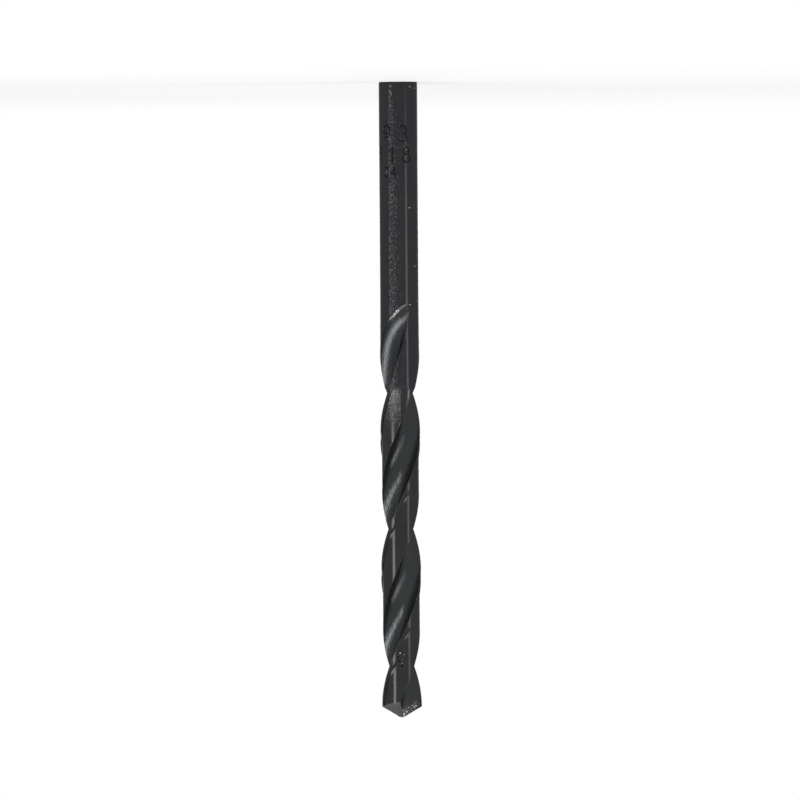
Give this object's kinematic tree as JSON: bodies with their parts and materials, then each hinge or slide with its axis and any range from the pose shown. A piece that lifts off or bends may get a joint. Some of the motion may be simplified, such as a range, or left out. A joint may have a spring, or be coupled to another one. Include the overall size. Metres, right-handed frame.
{
  "type": "twist drill bit",
  "caption": "Jobber twist drill with a parallel shank, two right-hand helical flutes with margins and a conically ground point.",
  "frame": {"origin": "centre of the flat shank end, on which the drill stands", "axes": "+Z along the drill axis from the shank to the point; the lips lie along X"},
  "size_m": [0.0058, 0.0058, 0.093],
  "materials": {
    "oxide_steel": "steam-tempered black oxide on high-speed steel, satin"
  },
  "bodies": {
    "root": {"twist_drill": "oxide_steel"}
  },
  "joints": []
}
